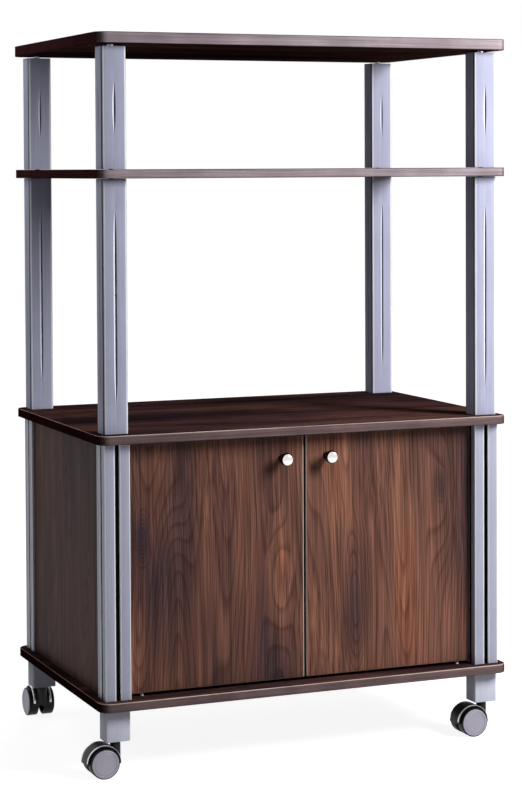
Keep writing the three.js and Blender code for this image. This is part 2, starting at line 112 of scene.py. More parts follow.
FLOOR_HALF = 8                     # metres to the floor's edges
LIT_MIDDLE = Vector((0, 0, 0.45))  # the soft boxes face this point of the cart
CAMERA_PLACE = (-1.1875, -2.8957, 0.7971)
CAMERA_TURN = (22.398, -2.055, -0.276)    # yaw, pitch and roll in degrees
CAMERA_SHIFT = (0.004, -0.19)      # share of the frame's longer side


# ---- Settings


def number(name, description, default, unit="NONE"):
    return bpy.props.FloatProperty(name=name, description=description, default=default, min=0, unit=unit)


def measure(name, description, millimetres):
    return number(name, description, millimetres * MM, "LENGTH")


def hex_colour(name, description, hex_value):
    return bpy.props.StringProperty(name=name, description=description, default=hex_value)


class CartSizes(bpy.types.PropertyGroup):
    """Sizes that shape the dressed pieces"""

    board_corner: measure("Board corner", "Radius of the boards' corners in plan", 16)
    board_arris: measure("Board arris", "Rounding of the boards' upper and lower edges", 0.9)
    post_corner: measure("Post corner", "Radius of the open posts' upright edges", 3)
    post_end: measure("Post end", "Easing of the open posts' and legs' ends", 0.8)
    flute_depth: measure("Flute depth", "Depth of the flutes at their middle", 1.6)
    flute_width: measure("Flute width", "Width of the flutes on the front and back faces", 4.8)
    side_flute_width: measure("Side flute width", "Width of the flutes on the side faces", 3.4)
    short_flute: measure("Short flute", "Length of the short posts' flutes", 74)
    long_flute: measure("Long flute", "Length of the long posts' flutes", 256)
    groove_width: measure("Groove width", "Width of the cabinet posts' front and back grooves", 5.4)
    side_groove_width: measure("Side groove width", "Width of the cabinet posts' side grooves", 8)
    groove_depth: measure("Groove depth", "Depth of the grooves in the cabinet posts", 7)
    groove_lip: measure("Groove lip", "Rounding of the grooves' lips", 2)
    cabinet_post_corner: measure("Cabinet post corner", "Radius of the cabinet posts' upright edges", 1.6)
    leg_corner: measure("Leg corner", "Radius of the legs' upright edges", 2)
    knob_round: measure("Knob rounding", "Rounding of the knob's head", 4.8)
    tread_round: measure("Tread rounding", "Rounding of the tyres' shoulders", 1.2)
    cap_radius: measure("Wheel cap radius", "Radius of the caps on the wheels", 18.7)


class CartColours(bpy.types.PropertyGroup):
    """Colours of the finishes, as sRGB hex"""

    walnut_dark: hex_colour("Walnut, dark", "Dark bands of the doors' print", "#423236")
    walnut_mid: hex_colour("Walnut, middle", "Ground colour of the doors' print", "#66463E")
    walnut_light: hex_colour("Walnut, light", "Light bands of the doors' print", "#865C4C")
    walnut_flame: hex_colour("Walnut, flame", "Orange flames of the doors' print", "#8E5C48")
    # Darker than the doors' print: painted shade on the boards and panels
    board_dark: hex_colour("Boards, dark", "Dark bands of the boards' and panels' print", "#2E2024")
    board_mid: hex_colour("Boards, middle", "Ground of the boards' and panels' print", "#452F2F")
    board_light: hex_colour("Boards, light", "Reddish bands of the boards' and panels' print", "#5C3F38")
    # The pale band colours hold the band's own colour and a painted sheen of the front edges
    edge_band: hex_colour("Edge band", "Edge bands of the open shelves", "#A3959C")
    edge_band_dark: hex_colour("Dark edge band", "Edge bands of the cabinet's boards", "#786464")
    # The pale arris colour is a painted highlight, on the cabinet boards' upper arrises and, over the
    # band's paler edge, on the doors' arrises; the dark one is painted shade on the boards' other arrises
    arris: hex_colour("Arris", "Upper arrises of the cabinet's boards, the doors' arrises", "#D6C5BC")
    arris_dark: hex_colour("Dark arris", "Other arrises of the boards", "#4E3E40")
    silver: hex_colour("Silver film", "Film of the open posts", "#B4B6CE")
    # Paler than the posts' film: painted light on the legs
    silver_legs_painted_light: hex_colour("Silver film, legs", "Film of the legs", "#E4E6F8")
    # Pale and dark copies of the silver film: a painted highlight and painted shade on flutes, arrises and
    # lips
    silver_painted_highlight: hex_colour("Silver, pale", "Arrises, flutes' left walls and grooves' lips", "#EEF0F8")
    silver_painted_shade: hex_colour("Silver, dark", "Film's folds beside arrises and in flutes", "#44465A")
    aluminium: hex_colour("Aluminium", "Grooved cabinet posts", "#B4B6CA")
    # Near black on the grooves' walls and floors: painted shade
    groove_painted_shade: hex_colour("Groove lining", "Lining strips in the cabinet posts' grooves", "#121117")
    chrome: hex_colour("Chrome", "Knobs and caster stems", "#E6E4E2")
    # A dark copy of the chrome: a painted reflection of the doors on the knobs' rim and neck
    chrome_painted_reflection: hex_colour("Chrome, shaded", "Rim and neck of the knobs", "#241B1A")
    zinc: hex_colour("Zinc plate", "Rods, screws, strike plates and axles", "#B4B6BA")
    nylon_white: hex_colour("White nylon", "Pivot pins and catch", "#EEECE6")
    nylon_black: hex_colour("Black nylon", "Caster hoods", "#0E0D10")
    # Near white: the trim's silver with a painted highlight
    trim: hex_colour("Caster trim", "Silver trim of the caster hoods", "#E2E2EA")
    tyre: hex_colour("Tyre", "Treads of the wheels", "#0C0B0E")
    cap: hex_colour("Wheel cap", "Caps on the wheels", "#A8A4B2")


class CartStage(bpy.types.PropertyGroup):
    """Floor, light and camera"""

    floor: hex_colour("Floor", "Paper under the cart, before it is lifted to white", "#B4B4B4")
    key_power: number("Key light", "Power of the soft box on the right", 27, "POWER")
    fill_power: number("Fill light", "Power of the soft box on the left", 1.6, "POWER")
    back_power: number("Back light", "Power of the soft box behind the cart", 4, "POWER")
    top_power: number("Top light", "Power of the soft box overhead", 6, "POWER")
    room_strength: number("Room light", "Strength of the even light from all round", 0.05)
    lens: number("Lens", "Focal length of the camera", 99.03, "CAMERA")


# ---- Colours and shader nodes


def linear(hex_value):
    """sRGB hex to linear colour"""
    channels = []
    for start in (1, 3, 5):
        value = int(hex_value[start:start + 2], 16) / 255
        channels.append(value / 12.92 if value <= 0.04045 else ((value + 0.055) / 1.055) ** 2.4)
    return (*channels, 1.0)


def feed(tree, node, inputs):
    """Gives a node its inputs: a socket is linked, a value is set"""
    for name, value in dict(inputs).items():
        socket = node.inputs[name]
        if isinstance(value, bpy.types.NodeSocket):
            tree.links.new(value, socket)
        else:
            socket.default_value = value


def add(tree, kind, inputs=(), stops=(), **values):
    """Adds a node with its settings, its inputs and its ramp's stops, and gives its outputs"""
    node = tree.nodes.new(f"ShaderNode{kind}")
    for name, value in values.items():
        setattr(node, name, value)
    feed(tree, node, inputs)
    if stops:
        ramp = node.color_ramp
        while len(ramp.elements) < len(stops):
            ramp.elements.new(1.0)
        for element, (position, colour) in zip(ramp.elements, stops):
            element.position = position
            element.color = (*colour[:3], 1.0)
    return node.outputs


def new_material(name):
    """A material with its Principled shader and object coordinates"""
    material = bpy.data.materials.new(name)
    material.use_nodes = True
    tree = material.node_tree
    tree.nodes.clear()
    bsdf = add(tree, "BsdfPrincipled")["BSDF"]
    add(tree, "OutputMaterial", {"Surface": bsdf})
    place = add(tree, "TexCoord")["Object"]
    return material, tree, bsdf.node, place


def shaded(tree, colour, shades):
    """A colour multiplied by a ramp over each pattern"""
    for pattern, stops in shades:
        factor = add(tree, "ValToRGB", {"Fac": pattern}, stops)["Color"]
        colour = add(tree, "VectorMath", {0: colour, 1: factor}, operation="MULTIPLY")["Vector"]
    return colour


def stretched_noise(tree, place, scale, detail, roughness, offset=(0, 0, 0)):
    """Outputs of a noise with scale features per metre along X, Y and Z"""
    space = add(tree, "Mapping", {"Vector": place, "Location": offset, "Scale": scale})
    return add(tree, "TexNoise", {
        "Vector": space["Vector"], "Scale": 1, "Detail": detail, "Roughness": roughness})


# ---- Walnut print


def grain_space(tree, axes, along):
    """Coordinates with the grain along Z, which wanders by up to 10 mm round knots and branches"""
    first, second = ("Y", "Z") if along == "X" else ("X", "Y")
    grain = add(tree, "CombineXYZ", {"X": axes[first], "Y": axes[second], "Z": axes[along]})["Vector"]
    drift = stretched_noise(tree, grain, (9, 9, 2.2), 1, 0.45, (1.7, 0.4, 2.2))
    centred = add(tree, "VectorMath", {0: drift["Color"], 1: (0.5, 0.5, 0.5)}, operation="SUBTRACT")
    bend = add(tree, "VectorMath", {0: centred["Vector"], 1: (0.022, 0.022, 0)}, operation="MULTIPLY")
    return add(tree, "VectorMath", {0: grain, 1: bend["Vector"]}, operation="ADD")["Vector"]


def with_figure(tree, flow, ground, height, figure):
    """Ground and ring height with flames and knots: mounds that shift the shade and bend the rings"""
    for across, lengthways, wide, tall, shade, rings in figure:
        space = add(tree, "Mapping", {
            "Vector": flow, "Location": (-across / wide, 0, -lengthways / tall),
            "Scale": (1 / (wide * MM), 0, 1 / (tall * MM))})
        away = add(tree, "VectorMath", {0: space["Vector"]}, operation="LENGTH")["Value"]
        mound = add(tree, "MapRange", {
            "Value": away, "From Min": 1, "From Max": 0},
            interpolation_type="SMOOTHSTEP")["Result"]
        ground, height = (
            add(tree, "Math", {0: mound, 1: share, 2: value}, operation="MULTIPLY_ADD")["Value"]
            for share, value in ((shade, ground), (rings / FIGURE_LINES, height)))
    return ground, height


def door_edges(tree, across, colour):
    """Pale arrises, the band's paler edge with a painted highlight, 1 mm and drawn up to 1.7 mm wide where
    the doors meet, and dark edges in the gaps: painted shade
    """
    colours = bpy.context.scene.cart_colours
    facing = add(tree, "SeparateXYZ", {"Vector": add(tree, "TexCoord")["Normal"]})["Y"]
    flat, from_middle = (
        add(tree, "Math", {0: value}, operation="ABSOLUTE")["Value"] for value in (facing, across))
    rim, meeting, sunk = (
        add(tree, "MapRange", {
            "Value": value, "From Min": start, "From Max": stop, "To Max": 0.9})["Result"]
        for value, start, stop in ((flat, 0.95, 0.85), (from_middle, 3.2 * MM, 2.6 * MM), (flat, 0.4, 0.2)))
    pale = add(tree, "Math", {0: rim, 1: meeting}, operation="MAXIMUM")["Value"]
    # The pale arrises carry a painted highlight, the dark edges in the gaps painted shade
    for share, hex_value in ((pale, colours.arris), (sunk, colours.board_dark)):
        colour = add(tree, "Mix", {0: share, 6: colour, 7: linear(hex_value)}, data_type="RGBA")[2]
    return colour


def walnut_laminate(name, along, palette, sheen, edged=False, figure=()):
    """Printed walnut melamine: paper print under a hard clear film, so an even gloss and very fine relief.

    along is the grain's axis, palette the names of its colours, and sheen the specular level, low so that
    the white room doesn't wash out the print. Bands are 10 mm wide, streaks 3 mm, and figure lines 5 to
    12 mm apart. Pores are under 1 mm in the real print, and drawn at 1.4 mm, the finest that shows.
    """
    colours = bpy.context.scene.cart_colours
    material, tree, shader, place = new_material(name)
    axes = add(tree, "SeparateXYZ", {"Vector": place})
    flow = grain_space(tree, axes, along)
    ground, height, band, streak, pore = (
        stretched_noise(tree, flow, (across, across, lengthways), *rest)["Fac"]
        for across, lengthways, *rest in PRINT_NOISES)
    ground, height = with_figure(tree, flow, ground, height, figure)
    # Growth rings are contour lines of a slow noise, as where a saw cuts them flat
    count = add(tree, "Math", {0: height, 1: FIGURE_LINES}, operation="MULTIPLY")["Value"]
    ring = add(tree, "Math", {0: count}, operation="FRACT")["Value"]

    shades = (linear(getattr(colours, shade)) for shade in palette)
    stops = tuple(zip((0.32, 0.47, 0.6, 0.73), shades))
    colour = add(tree, "ValToRGB", {"Fac": ground}, stops)["Color"]
    colour = shaded(tree, colour, (
        (band, ((0.32, (0.8, 0.79, 0.8)), (0.5, (1, 1, 1)), (0.68, (1.18, 1.17, 1.15)))),
        (streak, ((0.3, (0.78, 0.77, 0.77)), (0.5, (0.98, 0.98, 0.98)), (0.7, (1.22, 1.21, 1.2)))),
        (ring, ((0.0, (0.72, 0.7, 0.72)), (0.12, (1.09, 1.08, 1.07)), (0.7, (1, 1, 1)),
                (0.94, (0.7, 0.68, 0.7)))),
        (pore, ((0.36, (0.58, 0.57, 0.58)), (0.48, (1, 1, 1)), (0.54, (1, 1, 1)),
                (0.66, (1.45, 1.43, 1.42)))),
    ))
    if edged:
        colour = door_edges(tree, axes["X"], colour)
    gloss = add(tree, "MapRange", {
        "Value": streak, **NOISE_SPAN, "To Min": 0.5, "To Max": 0.42})["Result"]
    relief = add(tree, "Bump", {"Height": pore, "Strength": 0.25, "Distance": 0.06 * MM})["Normal"]
    feed(tree, shader, {
        "Base Color": colour, "Roughness": gloss, "Normal": relief, "Specular IOR Level": sheen})
    return material


# ---- Other finishes


def edge_banding(name, hex_value):
    """A thin extruded strip with the print's lines along it, without sheen, which would wash it out"""
    material, tree, shader, place = new_material(name)
    line = stretched_noise(tree, place, (7, 7, 900), 3, 0.6)["Fac"]
    patch = add(tree, "TexNoise", {"Vector": place, "Scale": 22.0, "Detail": 2})["Fac"]
    facing = add(tree, "SeparateXYZ", {"Vector": add(tree, "TexCoord")["Normal"]})["X"]
    end_painted_shade = add(tree, "Math", {0: facing}, operation="ABSOLUTE")["Value"]
    colour = shaded(tree, linear(hex_value)[:3], (
        (line, ((0.25, (0.52, 0.5, 0.5)), (0.5, (0.95, 0.95, 0.95)), (0.72, (1.25, 1.22, 1.22)))),
        (patch, ((0.3, (0.82, 0.8, 0.8)), (0.7, (1.12, 1.12, 1.12)))),
        # The strips round the short ends are painted darker: painted shade there, beside the paler long
        # edges, whose colour stands in partly for their sheen
        (end_painted_shade, ((0.35, (1, 1, 1)), (0.9, (0.135, 0.052, 0.055)))),
    ))
    relief = add(tree, "Bump", {"Height": line, "Strength": 0.2, "Distance": 0.05 * MM})["Normal"]
    feed(tree, shader, {
        "Base Color": colour, "Roughness": 0.36, "Normal": relief, "Specular IOR Level": 0.0})
    return material


# A grained finish has a fine grain, given by detail and roughness, and a slow cloud, by scale and detail.
# tone and stain are how far they darken and lighten the colour, gloss is what the grain adds to the
# roughness, from its lows to its highs, and bump is the strength of its relief.
BRUSHED = {"grain": (3, 0.65), "cloud": (18.0, 3), "tone": (0.93, 1.06), "stain": (0.96, 1.03),
           "gloss": (0.05, -0.04), "bump": 0.3}
MOULDED = {"grain": (2, 0.6), "cloud": (60.0, 2), "tone": (0.9, 1.1), "stain": (0.95, 1.05),
           "gloss": (-0.05, 0.07), "bump": 0.35}


def grained(name, hex_value, kind, scale, roughness, relief_mm, metallic, sheen):
    """A colour broken by a grain with scale features per metre along X, Y and Z, and by a cloud"""
    material, tree, shader, place = new_material(name)
    grain = stretched_noise(tree, place, scale, *kind["grain"])["Fac"]
    size, detail = kind["cloud"]
    cloud = add(tree, "TexNoise", {"Vector": place, "Scale": size, "Detail": detail})["Fac"]
    dull, bright = kind["gloss"]
    tone, stain, gloss = (
        add(tree, "MapRange", {"Value": noise, **NOISE_SPAN, "To Min": low, "To Max": high})["Result"]
        for noise, (low, high) in (
            (grain, kind["tone"]), (cloud, kind["stain"]), (grain, (roughness + dull, roughness + bright))))
    both = add(tree, "Math", {0: tone, 1: stain}, operation="MULTIPLY")["Value"]
    colour = add(tree, "VectorMath", {
        0: linear(hex_value)[:3], "Scale": both}, operation="SCALE")["Vector"]
    relief = add(tree, "Bump", {
        "Height": grain, "Strength": kind["bump"], "Distance": relief_mm * MM})["Normal"]
    feed(tree, shader, {
        "Base Color": colour, "Roughness": gloss, "Normal": relief,
        "Metallic": metallic, "Specular IOR Level": sheen})
    return material


def brushed(name, hex_value, lines, roughness, relief_mm, sheen, metallic=0.0):
    """Metal or metal-look film with lines drawn along Z; lines is their number per metre across"""
    scale = (lines, lines, lines / 60)
    return grained(name, hex_value, BRUSHED, scale, roughness, relief_mm, metallic, sheen)


def moulded(name, hex_value, grit_mm, roughness, relief_mm, sheen=0.5, metallic=0.0):
    """Plastic with the spark-eroded grain of its tool, drawn at grit_mm, which dulls the gloss"""
    scale = [1 / (grit_mm * MM)] * 3
    return grained(name, hex_value, MOULDED, scale, roughness, relief_mm, metallic, sheen)


def plated(name, hex_value, clouds, roughness):
    """Plated metal with faint clouds from its bath; clouds is their number per metre"""
    material, tree, shader, place = new_material(name)
    cloud = add(tree, "TexNoise", {"Vector": place, "Scale": clouds, "Detail": 4})["Fac"]
    gloss, shade = (
        add(tree, "MapRange", {"Value": cloud, **NOISE_SPAN, "To Min": low, "To Max": high})["Result"]
        for low, high in ((roughness * 0.8, roughness * 1.25), (0.94, 1.03)))
    colour = add(tree, "VectorMath", {
        0: linear(hex_value)[:3], "Scale": shade}, operation="SCALE")["Vector"]
    feed(tree, shader, {"Base Color": colour, "Roughness": gloss, "Metallic": 1.0})
    return material


# A finish has its maker, its colour's name and the maker's numbers: for brushed and moulded lines per metre
# or grit in mm, roughness, relief in mm, sheen and metallic; for plated clouds per metre and roughness
FINISHES = {
    # PVC edge band of the cabinet's boards: the print in a duller grey than on the faces
    "extruded_edge_band_cabinet": (edge_banding, "edge_band_dark"),
    # The same on the open shelves, in a paler colour
    "extruded_edge_band_shelves": (edge_banding, "edge_band"),
    # The same, near white, on the cabinet boards' upper arrises: a painted highlight
    "extruded_edge_band_arris": (edge_banding, "arris"),
    # The same, dark, on the boards' other arrises: painted shade
    "extruded_edge_band_arris_dark": (edge_banding, "arris_dark"),
    # Silver PVC film wrapped over the posts: flakes under a clear face, lavender cast, satin
    "wrapped_silver_film": (brushed, "silver", 420, 0.42, 0.02, 0.03),
    # The same film on the legs, drawn paler: painted light, for the weaker light that reaches the low legs
    "silver_film_legs_painted_light": (brushed, "silver_legs_painted_light", 420, 0.42, 0.02, 0.03),
    # The same film, paler and glossier, on arrises and flutes' left walls: a painted highlight
    "painted_highlight_silver_film": (brushed, "silver_painted_highlight", 420, 0.3, 0.01, 0.1),
    # The same film, dark, on flutes' right walls and beside arrises: painted shade
    "creased_silver_film": (brushed, "silver_painted_shade", 420, 0.5, 0.02, 0.03),
    # Extruded aluminium, anodised: die lines along it and a soft sheen. Its oxide scatters most of the
    # light, so it is hardly a mirror and only partly metallic here
    "anodised_aluminium": (brushed, "aluminium", 700, 0.38, 0.02, 0.05, 0.1),
    # The same metal, paler and glossier, on the grooves' rounded lips and the posts' rounded corners: a
    # painted highlight
    "anodised_aluminium_painted_highlight": (brushed, "silver_painted_highlight", 700, 0.3, 0.01, 0.3, 0.1),
    # The grooves' walls and floors, matt black: painted shade, so that the grooves read as deep slots
    "groove_black_painted_shade": (moulded, "groove_painted_shade", 1.0, 0.6, 0.02, 0.1),
    # Chrome plate over polished metal: a mirror with a faint haze
    "polished_chrome": (plated, "chrome", 90, 0.07),
    # The same chrome, dark, on the knobs' rim and neck: a painted reflection of the dark doors
    "chrome_painted_dark_reflection": (plated, "chrome_painted_reflection", 90, 0.12),
    # Zinc plate on steel: duller and cloudier than chrome
    "zinc_plate": (plated, "zinc", 220, 0.34),
    # Moulded white nylon: a waxy, even white with a soft gloss
    "moulded_white_nylon": (moulded, "nylon_white", 0.6, 0.45, 0.02),
    # Moulded black nylon of the hoods: a coarse grain and a low, broken gloss
    "moulded_black_nylon": (moulded, "nylon_black", 0.9, 0.5, 0.05, 0.25),
    # Moulded polyurethane of the treads: smooth and nearly black, with a dull sheen
    "moulded_black_tyre": (moulded, "tyre", 1.2, 0.45, 0.04, 0.15),
    # Metallised ABS trim of the hoods, near white: a thin bright line, the trim with a painted highlight
    # along the hood's rim
    "silver_trim_painted_highlight": (moulded, "trim", 0.8, 0.3, 0.01, 0.5, 0.8),
    # Moulded ABS caps with metal flake in the grey: satin, with a lavender cast
    "moulded_grey_cap": (moulded, "cap", 0.8, 0.48, 0.03, 0.3, 0.35),
}


def finish(name):
    """A material from the table of finishes, made the first time it is asked for"""
    make, colour, *numbers = FINISHES[name]
    colours = bpy.context.scene.cart_colours
    return bpy.data.materials.get(name) or make(name, getattr(colours, colour), *numbers)


# ---- Shapes


def new_object(name, data):
    """An object with a mesh, a lamp or a lens"""
    made = bpy.data.objects.new(name, data)
    bpy.context.scene.collection.objects.link(made)
    return made


def piece(name, bm, materials, body, nodes=(), sharp=SHARP_EDGE):
    """A finished piece from a bmesh, riding on its body in place of the named nodes.

    sharp is the angle past which an edge is shaded sharp, or None where the shape has marked its own edges.
    """
    bmesh.ops.remove_doubles(bm, verts=bm.verts[:], dist=WELD)
    bmesh.ops.recalc_face_normals(bm, faces=bm.faces[:])
    mesh = bpy.data.meshes.new(name)
    bm.to_mesh(mesh)
    bm.free()
    if sharp:
        mesh.shade_smooth()
        mesh.set_sharp_from_angle(angle=sharp)
    for material in materials:
        mesh.materials.append(material)
    shaped = new_object(name, mesh)
    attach(shaped, body)
    if nodes:
        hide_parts(*nodes)


def cover(nodes, material):
    """Gives CAD nodes a material and leaves their meshes as they are"""
    for node in nodes:
        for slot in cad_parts[node].material_slots:
            slot.material = material


def span(node):
    """Lowest and highest corners of a node, as vectors"""
    low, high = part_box(node)
    return Vector(low), Vector(high)


def steepness(edge):
    """0 for a level edge, 1 for an upright one"""
    return abs((edge.verts[0].co - edge.verts[1].co).normalized().z)


def upright_edges(bm):
    return [edge for edge in bm.edges if steepness(edge) > 0.999]


def end_edges(bm):
    """Edges between a level end face and a side"""
    found = []
    for edge in bm.edges:
        lean = sorted(abs(face.normal.z) for face in edge.link_faces)
        if len(lean) == 2 and lean[0] < 0.1 and lean[1] > 0.99:
            found.append(edge)
    return found


def bevel(bm, edges, offset, segments):
    bmesh.ops.bevel(bm, geom=edges, offset=offset, offset_type="OFFSET", segments=segments,
                    profile=0.5, affect="EDGES", material=-1, clamp_overlap=True)
    bm.normal_update()


def softened_block(low, high, corner, corner_steps, arris, arris_steps=3):
    """A box with rounded upright edges and eased ends"""
    bm = bmesh.new()
    bmesh.ops.create_cube(bm, size=1)
    bmesh.ops.scale(bm, vec=high - low, verts=bm.verts)
    bmesh.ops.translate(bm, vec=(high + low) / 2, verts=bm.verts)
    bm.normal_update()
    bevel(bm, upright_edges(bm), corner, corner_steps)
    bevel(bm, end_edges(bm), arris, arris_steps)
    return bm


def arc(centre, radius, start, stop, steps):
    """Points of a rounded profile; angles in degrees from the radius towards the axis"""
    angles = (math.radians(start + (stop - start) * step / steps) for step in range(steps + 1))
    return [(centre[0] + radius * math.cos(angle), centre[1] + radius * math.sin(angle))
            for angle in angles]


def spun(profile, origin, axis, steps, start=0.0, sweep=360.0):
    """A profile of (radius, height) in millimetres, spun about an axis through origin.

    A profile that sweeps less than a full turn, in degrees, is closed and gets a face at both ends.
    """
    full = sweep >= 360
    side = axis.orthogonal().normalized() if abs(axis.z) > 0.9 else UP.cross(axis).normalized()
    side = Matrix.Rotation(math.radians(start), 3, axis) @ side
    bm = bmesh.new()
    verts = [bm.verts.new(origin + (side * radius + axis * height) * MM) for radius, height in profile]
    edges = [bm.edges.new(pair) for pair in zip(verts, verts[1:])]
    if not full:
        edges.append(bm.edges.new((verts[-1], verts[0])))
    made = bmesh.ops.spin(bm, geom=verts + edges, cent=origin, axis=axis, angle=math.radians(sweep),
                          steps=steps, use_merge=full)
    if not full:
        last = [item for item in made["geom_last"] if isinstance(item, bmesh.types.BMEdge)]
        bmesh.ops.contextual_create(bm, geom=edges)
        bmesh.ops.contextual_create(bm, geom=last)
    return bm


def turning(node, axis):
    """Foot of a turned node on its axis, and its length in millimetres"""
    low, high = span(node)
    reach = abs((high - low).dot(axis)) / 2
    return (low + high) / 2 - axis * reach, 2 * reach / MM


def turned(node, profile, axis, steps, finish_name, body):
    """A piece spun about its node's axis, from a function that gives its profile for its length"""
    foot, length = turning(node, axis)
    bm = spun(profile(length), foot, axis, steps)
    piece(f"{node}_turned", bm, (finish(finish_name),), body, (node,), TURNED_EDGE)


def merged(*parts):
    """Several closed shapes in one bmesh"""
    whole = parts[0]
    for part in parts[1:]:
        loose = bpy.data.meshes.new("loose")
        part.to_mesh(loose)
        part.free()
        whole.from_mesh(loose)
        bpy.data.meshes.remove(loose)
    return whole


# ---- Posts


def post_side(side, half):
    """Half widths along and across one of a post's sides, and the turn that brings the front there"""
    along, out = (half.x, half.y) if side % 2 == 0 else (half.y, half.x)
    return along, out, Matrix.Rotation(math.radians(90 * side), 2)


def post_columns(corner_steps=4):
    """Columns round a fluted post, anticlockwise from the front, and the material of the strip after each.

    A column is a side, what it lies on, and its place there: an end of the flat, a share of the flute's
    half width or an angle on the corner in degrees.
    """
    columns, strips = [], []
    for side in range(4):
        strips.extend(SIDE_STRIPS if side % 2 else FRONT_STRIPS)
        columns.append((side, "flat", -1))
        columns.extend((side, "flute", share) for share in (-1, -0.66, -0.33, 0, 0.33, 0.66, 1))
        columns.append((side, "flat", 1))
        columns.extend((side, "corner", 90 * step / corner_steps) for step in range(1, corner_steps))
    return columns, strips


def fluted_post(low, high, corner, arris, flute_length, widths, depth, flute_steps=28, plain_end=4 * MM):
    """A post with a flute in each side, pointed at its ends: a grid wrapped round it, with closed ends"""
    half = (high - low) / 2
    centre = (high + low) / 2
    columns, strips = post_columns()
    reach = flute_length / 2
    rows = [-half.z, -half.z + plain_end]
    rows.extend(-reach * math.cos(math.pi * step / flute_steps) for step in range(flute_steps + 1))
    rows.extend((half.z - plain_end, half.z))

    bm = bmesh.new()
    across, along = len(columns), len(rows) - 1
    bmesh.ops.create_grid(bm, x_segments=across, y_segments=along, size=0.5)
    for quad in bm.faces:
        # Each strip takes one of three films: plain, with a painted highlight, and with painted shade
        quad.material_index = strips[round((min(vert.co.x for vert in quad.verts) + 0.5) * across)]
        quad.smooth = True
    for vert in bm.verts:
        side, kind, value = columns[round((vert.co.x + 0.5) * across) % across]
        z = rows[round((vert.co.y + 0.5) * along)]
        run, rise, turn = post_side(side, half)
        if kind == "flat":
            point = Vector((value * (run - corner), -rise))
        elif kind == "corner":
            angle = math.radians(value)
            point = Vector((run - corner + corner * math.sin(angle),
                            corner - rise - corner * math.cos(angle)))
        else:
            opening = max(0.0, 1 - abs(z / reach) ** (flute_length / FLUTE_TAPER))
            wide = max(widths[side % 2] / 2 * opening, FLUTE_TIP)
            point = Vector((value * wide, -rise + depth * opening * (1 - abs(value))))
        flat = turn @ point
        vert.co = centre + Vector((flat.x, flat.y, z))
    bmesh.ops.remove_doubles(bm, verts=bm.verts[:], dist=WELD)
    bmesh.ops.edgeloop_fill(bm, edges=[edge for edge in bm.edges if edge.is_boundary])
    bm.normal_update()
    bevel(bm, end_edges(bm), arris, 3)
    for edge in bm.edges:
        spot = (edge.verts[0].co + edge.verts[1].co) / 2 - centre
        in_flute = min(abs(spot.x) - widths[0] / 2, abs(spot.y) - widths[1] / 2) < MM / 2
        limit = FLUTE_EDGE if in_flute and steepness(edge) > 0.9 else SHARP_EDGE
        edge.smooth = edge.calc_face_angle(0.0) < limit
    return bm


def grooved_post(low, high, corner, lip, widths, depth):
    """An extruded section with a groove in each side and rounded lips"""
    half = (high - low) / 2
    centre = (high + low) / 2
    bm = bmesh.new()
    verts = []
    for side in range(4):
        run, rise, turn = post_side(side, half)
        gap = widths[side % 2] / 2
        for x, y in ((-run, -rise), (-gap, -rise), (-gap, depth - rise), (gap, depth - rise), (gap, -rise)):
            point = turn @ Vector((x, y))
            verts.append(bm.verts.new((centre.x + point.x, centre.y + point.y, low.z)))
    risen = bmesh.ops.extrude_face_region(bm, geom=[bm.faces.new(verts)])
    bmesh.ops.translate(bm, vec=(0, 0, high.z - low.z),
                        verts=[item for item in risen["geom"] if isinstance(item, bmesh.types.BMVert)])
    bmesh.ops.recalc_face_normals(bm, faces=bm.faces[:])
    corners, lips = [], []
    for edge in upright_edges(bm):
        spot = edge.verts[0].co - centre
        outer = (abs(spot.x) > half.x - NEAR) + (abs(spot.y) > half.y - NEAR)
        if outer:
            (corners if outer == 2 else lips).append(edge)
    bevel(bm, corners, corner, 4)
    bevel(bm, [edge for edge in lips if edge.is_valid], lip, 4)
    for quad in bm.faces:
        spot = quad.calc_center_median() - centre
        x, y = abs(spot.x), abs(spot.y)
        # Faces inside a groove take the near black: painted shade
        sunk = ((x < widths[0] / 2 + NEAR and y < half.y - lip - NEAR)
                or (y < widths[1] / 2 + NEAR and x < half.x - lip - NEAR))
        # Rounded lips and corners take the pale metal: a painted highlight
        rounded = min(abs(quad.normal.x), abs(quad.normal.y)) > 0.15
        end = abs(quad.normal.z) > 0.5
        quad.material_index = METAL if end else GROOVE_PAINTED_SHADE if sunk else LIP_PAINTED_HIGHLIGHT if rounded else METAL
    return bm


# ---- Fittings and casters; profiles are in millimetres from the foot of the piece


def screw_profile(length, shank=2.0, head=4.0, under=2.4):
    """Knob screw with a domed head"""
    return [(0, 0), (2.0, 0.05), (3.0, 0.35), (3.7, 0.95), (head, 1.7), (head, under), (shank, under),
            (shank, length - 0.8), (shank - 0.6, length), (0, length)]


def pin_profile(length, body=2.5, end=1.9, ease=0.4):
    """Pivot pin with a shoulder and a thinner end"""
    shoulder = length - THIN_END
    return [(0, 0), (body - ease, 0), (body, ease), (body, shoulder - ease), (body - ease, shoulder),
            (end, shoulder), (end, length - 0.5), (end - 0.5, length), (0, length)]


def rod_profile(length, rod=3.0, end=0.6, collar=4.5, ease=0.4):
    """Tie rod with the collar that stands in the gap under the top shelf"""
    top = length - THIN_END
    bottom = top - 2.3
    return [(0, 0), (rod - end, 0), (rod, end), (rod, bottom), (collar - ease, bottom),
            (collar, bottom + ease), (collar, top - ease), (collar - ease, top), (rod, top),
            (rod, length - end), (rod - end, length), (0, length)]


def stem_profile(length, pin=2.5, plug=5.5, shoulder=16.3):
    """Caster stem: a pin in the hood, a shoulder and the plug in the leg"""
    return [(0, 0), (pin - 0.4, 0), (pin, 0.4), (pin, shoulder), (plug - 0.5, shoulder),
            (plug, shoulder + 0.5), (plug, length - 1), (plug - 1, length), (0, length)]


